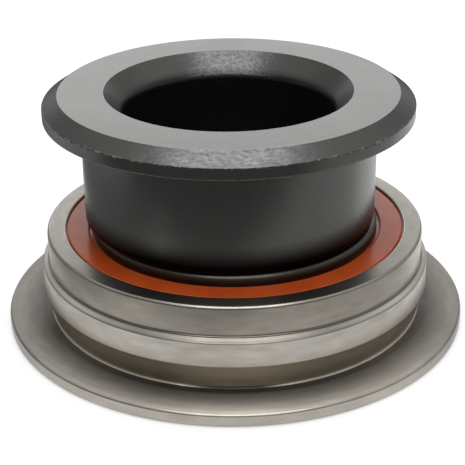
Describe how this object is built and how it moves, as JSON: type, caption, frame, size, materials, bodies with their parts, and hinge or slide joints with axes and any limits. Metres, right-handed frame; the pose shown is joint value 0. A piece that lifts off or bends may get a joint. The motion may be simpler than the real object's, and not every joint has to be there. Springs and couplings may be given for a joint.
{
  "type": "clutch release bearing",
  "caption": "Pull-type clutch release bearing: black flanged guide sleeve floating in a sealed ball bearing whose steel outer ring ends in a wide pull flange.",
  "frame": {"origin": "centre of the pull flange's underside, on the bearing's axis", "axes": "+Z along the bearing's axis towards the fork flange; the picture looks along +Y; at rest the sleeve stands off the axis towards -X"},
  "size_m": [0.094, 0.094, 0.0477],
  "materials": {
    "black_phosphate": "satin black phosphate on turned steel",
    "bearing_steel": "ground bearing steel",
    "ring_steel": "finely turned bright steel",
    "seal_rubber": "glossy orange rubber",
    "cage_nylon": "natural moulded polyamide",
    "spring_steel": "blued spring steel",
    "washer_steel": "hardened washer steel",
    "clip_steel": "oiled dark spring steel",
    "ball_steel": "polished bearing balls"
  },
  "bodies": {
    "sleeve": {"guide_sleeve": "black_phosphate", "retaining_ring": "clip_steel"},
    "float_washers": {"wave_spring": "spring_steel", "thrust_washer": "washer_steel"},
    "inner_ring": {"inner_ring": "bearing_steel"},
    "outer_ring": {"outer_ring": "ring_steel", "upper_seal": "seal_rubber", "lower_seal": "seal_rubber"},
    "cage": {"ball_cage": "cage_nylon"},
    "ball_01": {"ball_01": "ball_steel"},
    "ball_02": {"ball_02": "ball_steel"},
    "ball_03": {"ball_03": "ball_steel"},
    "ball_04": {"ball_04": "ball_steel"},
    "ball_05": {"ball_05": "ball_steel"},
    "ball_06": {"ball_06": "ball_steel"},
    "ball_07": {"ball_07": "ball_steel"},
    "ball_08": {"ball_08": "ball_steel"},
    "ball_09": {"ball_09": "ball_steel"},
    "ball_10": {"ball_10": "ball_steel"},
    "ball_11": {"ball_11": "ball_steel"},
    "ball_12": {"ball_12": "ball_steel"},
    "ball_13": {"ball_13": "ball_steel"},
    "ball_14": {"ball_14": "ball_steel"},
    "ball_15": {"ball_15": "ball_steel"},
    "ball_16": {"ball_16": "ball_steel"}
  },
  "joints": [
    {"name": "float_y", "type": "slide", "parent": "sleeve", "child": "float_washers", "axis": [0, 1, 0], "range_m": [-0.001, 0.001]},
    {"name": "float_x", "type": "slide", "parent": "float_washers", "child": "inner_ring", "axis": [1, 0, 0], "range_m": [-0.0019, 0.0001]},
    {"name": "outer_spin", "type": "hinge", "parent": "inner_ring", "child": "outer_ring", "pos_m": [0, 0, 0.0119], "axis": [0, 0, 1], "continuous": true},
    {"name": "cage_orbit", "type": "hinge", "parent": "inner_ring", "child": "cage", "pos_m": [0, 0, 0.0119], "axis": [0, 0, 1], "continuous": true},
    {"name": "ball_01_roll", "type": "hinge", "parent": "cage", "child": "ball_01", "pos_m": [0.0318, 0, 0.0119], "axis": [-0.5, 0, 0.866], "continuous": true},
    {"name": "ball_02_roll", "type": "hinge", "parent": "cage", "child": "ball_02", "pos_m": [0.02938, 0.01217, 0.0119], "axis": [-0.4619, -0.1913, 0.866], "continuous": true},
    {"name": "ball_03_roll", "type": "hinge", "parent": "cage", "child": "ball_03", "pos_m": [0.02249, 0.02249, 0.0119], "axis": [-0.3536, -0.3536, 0.866], "continuous": true},
    {"name": "ball_04_roll", "type": "hinge", "parent": "cage", "child": "ball_04", "pos_m": [0.01217, 0.02938, 0.0119], "axis": [-0.1913, -0.4619, 0.866], "continuous": true},
    {"name": "ball_05_roll", "type": "hinge", "parent": "cage", "child": "ball_05", "pos_m": [0, 0.0318, 0.0119], "axis": [0, -0.5, 0.866], "continuous": true},
    {"name": "ball_06_roll", "type": "hinge", "parent": "cage", "child": "ball_06", "pos_m": [-0.01217, 0.02938, 0.0119], "axis": [0.1913, -0.4619, 0.866], "continuous": true},
    {"name": "ball_07_roll", "type": "hinge", "parent": "cage", "child": "ball_07", "pos_m": [-0.02249, 0.02249, 0.0119], "axis": [0.3536, -0.3536, 0.866], "continuous": true},
    {"name": "ball_08_roll", "type": "hinge", "parent": "cage", "child": "ball_08", "pos_m": [-0.02938, 0.01217, 0.0119], "axis": [0.4619, -0.1913, 0.866], "continuous": true},
    {"name": "ball_09_roll", "type": "hinge", "parent": "cage", "child": "ball_09", "pos_m": [-0.0318, 0, 0.0119], "axis": [0.5, 0, 0.866], "continuous": true},
    {"name": "ball_10_roll", "type": "hinge", "parent": "cage", "child": "ball_10", "pos_m": [-0.02938, -0.01217, 0.0119], "axis": [0.4619, 0.1913, 0.866], "continuous": true},
    {"name": "ball_11_roll", "type": "hinge", "parent": "cage", "child": "ball_11", "pos_m": [-0.02249, -0.02249, 0.0119], "axis": [0.3536, 0.3536, 0.866], "continuous": true},
    {"name": "ball_12_roll", "type": "hinge", "parent": "cage", "child": "ball_12", "pos_m": [-0.01217, -0.02938, 0.0119], "axis": [0.1913, 0.4619, 0.866], "continuous": true},
    {"name": "ball_13_roll", "type": "hinge", "parent": "cage", "child": "ball_13", "pos_m": [0, -0.0318, 0.0119], "axis": [0, 0.5, 0.866], "continuous": true},
    {"name": "ball_14_roll", "type": "hinge", "parent": "cage", "child": "ball_14", "pos_m": [0.01217, -0.02938, 0.0119], "axis": [-0.1913, 0.4619, 0.866], "continuous": true},
    {"name": "ball_15_roll", "type": "hinge", "parent": "cage", "child": "ball_15", "pos_m": [0.02249, -0.02249, 0.0119], "axis": [-0.3536, 0.3536, 0.866], "continuous": true},
    {"name": "ball_16_roll", "type": "hinge", "parent": "cage", "child": "ball_16", "pos_m": [0.02938, -0.01217, 0.0119], "axis": [-0.4619, 0.1913, 0.866], "continuous": true}
  ],
  "couplings": [
    {"joint": "cage_orbit", "follows": "outer_spin", "ratio": 0.55404},
    {"joint": "ball_01_roll", "follows": "outer_spin", "ratio": 3.9592},
    {"joint": "ball_02_roll", "follows": "outer_spin", "ratio": 3.9592},
    {"joint": "ball_03_roll", "follows": "outer_spin", "ratio": 3.9592},
    {"joint": "ball_04_roll", "follows": "outer_spin", "ratio": 3.9592},
    {"joint": "ball_05_roll", "follows": "outer_spin", "ratio": 3.9592},
    {"joint": "ball_06_roll", "follows": "outer_spin", "ratio": 3.9592},
    {"joint": "ball_07_roll", "follows": "outer_spin", "ratio": 3.9592},
    {"joint": "ball_08_roll", "follows": "outer_spin", "ratio": 3.9592},
    {"joint": "ball_09_roll", "follows": "outer_spin", "ratio": 3.9592},
    {"joint": "ball_10_roll", "follows": "outer_spin", "ratio": 3.9592},
    {"joint": "ball_11_roll", "follows": "outer_spin", "ratio": 3.9592},
    {"joint": "ball_12_roll", "follows": "outer_spin", "ratio": 3.9592},
    {"joint": "ball_13_roll", "follows": "outer_spin", "ratio": 3.9592},
    {"joint": "ball_14_roll", "follows": "outer_spin", "ratio": 3.9592},
    {"joint": "ball_15_roll", "follows": "outer_spin", "ratio": 3.9592},
    {"joint": "ball_16_roll", "follows": "outer_spin", "ratio": 3.9592}
  ]
}
